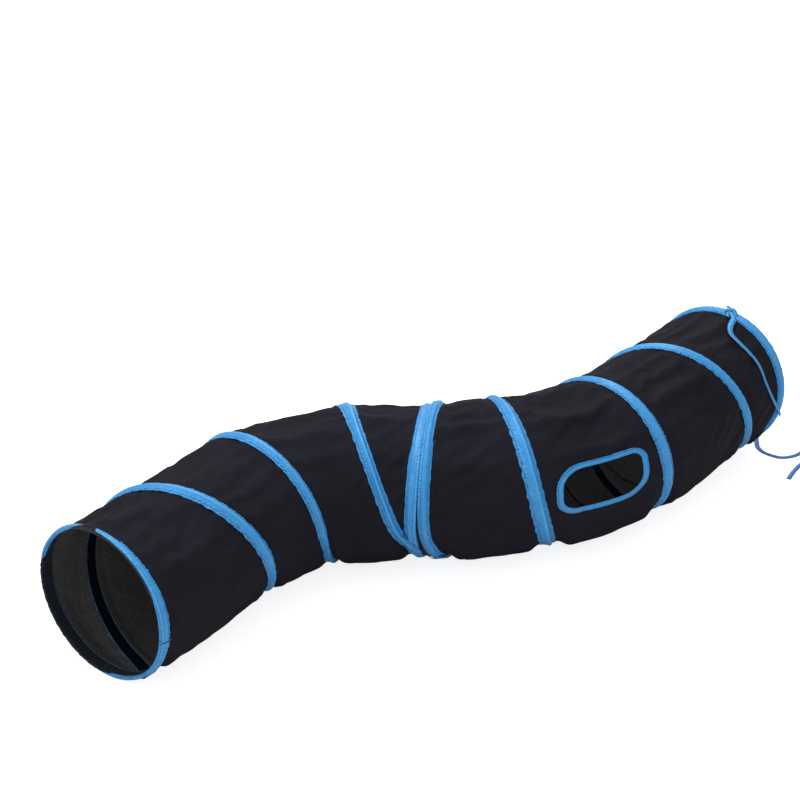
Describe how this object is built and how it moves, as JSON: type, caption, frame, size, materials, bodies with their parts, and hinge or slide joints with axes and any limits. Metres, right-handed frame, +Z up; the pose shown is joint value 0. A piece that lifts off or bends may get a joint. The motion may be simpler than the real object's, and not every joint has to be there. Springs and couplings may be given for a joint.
{
  "type": "agility tunnel",
  "caption": "Collapsible fabric agility tunnel for small pets on spring-steel coils, with bound mouths, a centre seam, a peephole and tie ribbons, standing in a shallow S.",
  "frame": {"origin": "on the floor, at the middle of the flat foot under the coil ring that ends the front section", "axes": "+X along the tunnel's length in plan from the front mouth to the rear mouth, +Z up from the floor"},
  "size_m": [1.2911, 0.8165, 0.2537],
  "materials": {
    "black_fabric": "plain-woven polyester with a soft sheen",
    "blue_binding": "satin binding tape",
    "spring_steel_wire": "bright drawn wire",
    "crimp_metal": "dull zinc"
  },
  "bodies": {
    "centre_front_ring": {"centre_front_ring_wire": "spring_steel_wire", "centre_front_ring_crimp": "crimp_metal", "centre_front_ring_tape": "blue_binding", "centre_front_hem": "black_fabric", "centre_seam_sleeve": "black_fabric"},
    "front_panel_4": {"front_panel_4_fabric": "black_fabric", "front_panel_4_coil_wire": "spring_steel_wire", "front_panel_4_coil_tape": "blue_binding"},
    "front_panel_3": {"front_panel_3_fabric": "black_fabric", "front_panel_3_coil_wire": "spring_steel_wire", "front_panel_3_coil_tape": "blue_binding"},
    "front_panel_2": {"front_panel_2_fabric": "black_fabric", "front_panel_2_coil_wire": "spring_steel_wire", "front_panel_2_coil_tape": "blue_binding"},
    "front_panel_1": {"front_panel_1_fabric": "black_fabric", "front_panel_1_coil_wire": "spring_steel_wire", "front_panel_1_coil_tape": "blue_binding"},
    "front_mouth": {"front_mouth_ring_wire": "spring_steel_wire", "front_mouth_ring_crimp": "crimp_metal", "front_mouth_ring_tape": "blue_binding", "front_mouth_hem": "black_fabric"},
    "centre_rear_ring": {"centre_rear_ring_wire": "spring_steel_wire", "centre_rear_ring_crimp": "crimp_metal", "centre_rear_ring_tape": "blue_binding", "centre_rear_hem": "black_fabric"},
    "rear_panel_1": {"rear_panel_1_fabric": "black_fabric", "rear_panel_1_coil_wire": "spring_steel_wire", "rear_panel_1_coil_tape": "blue_binding"},
    "rear_panel_2": {"rear_panel_2_fabric": "black_fabric", "rear_panel_2_coil_wire": "spring_steel_wire", "rear_panel_2_coil_tape": "blue_binding", "peephole_binding": "blue_binding"},
    "rear_panel_3": {"rear_panel_3_fabric": "black_fabric", "rear_panel_3_coil_wire": "spring_steel_wire", "rear_panel_3_coil_tape": "blue_binding"},
    "rear_panel_4": {"rear_panel_4_fabric": "black_fabric", "rear_panel_4_coil_wire": "spring_steel_wire", "rear_panel_4_coil_tape": "blue_binding"},
    "rear_mouth": {"rear_mouth_ring_wire": "spring_steel_wire", "rear_mouth_ring_crimp": "crimp_metal", "rear_mouth_ring_tape": "blue_binding", "rear_mouth_hem": "black_fabric", "top_tie_knot": "blue_binding"},
    "top_tie": {"top_tie_ribbon": "blue_binding"},
    "floor_tie": {"floor_tie_ribbon": "blue_binding"}
  },
  "joints": [
    {"name": "front_collapse", "type": "hinge", "parent": "centre_front_ring", "child": "front_panel_4", "pos_m": [-0.08154, -0.44309, 0], "axis": [0, 0, -1], "range_deg": [0, 5.01], "deforming": ["front_panel_4_fabric", "front_panel_4_coil_wire", "front_panel_4_coil_tape"]},
    {"name": "front_panel_3_close", "type": "hinge", "parent": "front_panel_4", "child": "front_panel_3", "pos_m": [-0.07459, -0.27269, 0], "axis": [0, 0, -1], "range_deg": [0, 20.86], "deforming": ["front_panel_3_fabric", "front_panel_3_coil_wire", "front_panel_3_coil_tape"]},
    {"name": "front_panel_2_close", "type": "hinge", "parent": "front_panel_3", "child": "front_panel_2", "pos_m": [-0.06843, -0.29954, 0], "axis": [0, 0, -1], "range_deg": [0, 24.95], "deforming": ["front_panel_2_fabric", "front_panel_2_coil_wire", "front_panel_2_coil_tape"]},
    {"name": "front_panel_1_close", "type": "hinge", "parent": "front_panel_2", "child": "front_panel_1", "pos_m": [0.72104, -1.12887, 0], "axis": [0, 0, -1], "range_deg": [0, 6.89], "deforming": ["front_panel_1_fabric", "front_panel_1_coil_wire", "front_panel_1_coil_tape"]},
    {"name": "front_mouth_close", "type": "hinge", "parent": "front_panel_1", "child": "front_mouth", "pos_m": [-2.42804, 1.35431, 0], "axis": [0, 0, 1], "range_deg": [0, 2.25]},
    {"name": "centre_seam_bend", "type": "hinge", "parent": "centre_front_ring", "child": "centre_rear_ring", "pos_m": [0.01271, -0.00273, 0], "axis": [0, 0, 1], "range_deg": [-2.5, 2.5], "deforming": ["centre_seam_sleeve"]},
    {"name": "rear_collapse", "type": "hinge", "parent": "centre_rear_ring", "child": "rear_panel_1", "pos_m": [0.06847, 0.30381, 0], "axis": [0, 0, -1], "range_deg": [0, 10.2], "deforming": ["rear_panel_1_fabric", "rear_panel_1_coil_wire", "rear_panel_1_coil_tape"]},
    {"name": "rear_panel_2_close", "type": "hinge", "parent": "rear_panel_1", "child": "rear_panel_2", "pos_m": [0.09282, 0.33383, 0], "axis": [0, 0, -1], "range_deg": [0, 22.26], "deforming": ["rear_panel_2_fabric", "rear_panel_2_coil_wire", "rear_panel_2_coil_tape", "peephole_binding"]},
    {"name": "rear_panel_3_close", "type": "hinge", "parent": "rear_panel_2", "child": "rear_panel_3", "pos_m": [0.07326, 0.42306, 0], "axis": [0, 0, -1], "range_deg": [0, 17.62], "deforming": ["rear_panel_3_fabric", "rear_panel_3_coil_wire", "rear_panel_3_coil_tape"]},
    {"name": "rear_panel_4_close", "type": "hinge", "parent": "rear_panel_3", "child": "rear_panel_4", "pos_m": [-0.73174, 1.25905, 0], "axis": [0, 0, -1], "range_deg": [0, 5.58], "deforming": ["rear_panel_4_fabric", "rear_panel_4_coil_wire", "rear_panel_4_coil_tape"]},
    {"name": "rear_mouth_close", "type": "slide", "parent": "rear_panel_4", "child": "rear_mouth", "axis": [-0.6639, -0.7478, 0], "range_m": [0, 0.09634]},
    {"name": "top_tie_swing", "type": "hinge", "parent": "rear_mouth", "child": "top_tie", "pos_m": [0.54216, 0.31241, 0.25095], "axis": [-0.6639, -0.7478, 0], "range_deg": [0, 80]},
    {"name": "floor_tie_lift", "type": "hinge", "parent": "rear_mouth", "child": "floor_tie", "pos_m": [0.54115, 0.32802, 0.0003], "axis": [0.7478, -0.6639, 0], "range_deg": [0, 60]}
  ],
  "couplings": [
    {"joint": "front_panel_3_close", "follows": "front_collapse", "ratio": 4.1585},
    {"joint": "front_panel_2_close", "follows": "front_collapse", "ratio": 4.9745},
    {"joint": "front_panel_1_close", "follows": "front_collapse", "ratio": 1.3704},
    {"joint": "front_mouth_close", "follows": "front_collapse", "ratio": 0.44562},
    {"joint": "rear_panel_2_close", "follows": "rear_collapse", "ratio": 2.1794},
    {"joint": "rear_panel_3_close", "follows": "rear_collapse", "ratio": 1.7248},
    {"joint": "rear_panel_4_close", "follows": "rear_collapse", "ratio": 0.54537},
    {"joint": "rear_mouth_close", "follows": "rear_collapse", "m_per_rad": 0.5399}
  ]
}
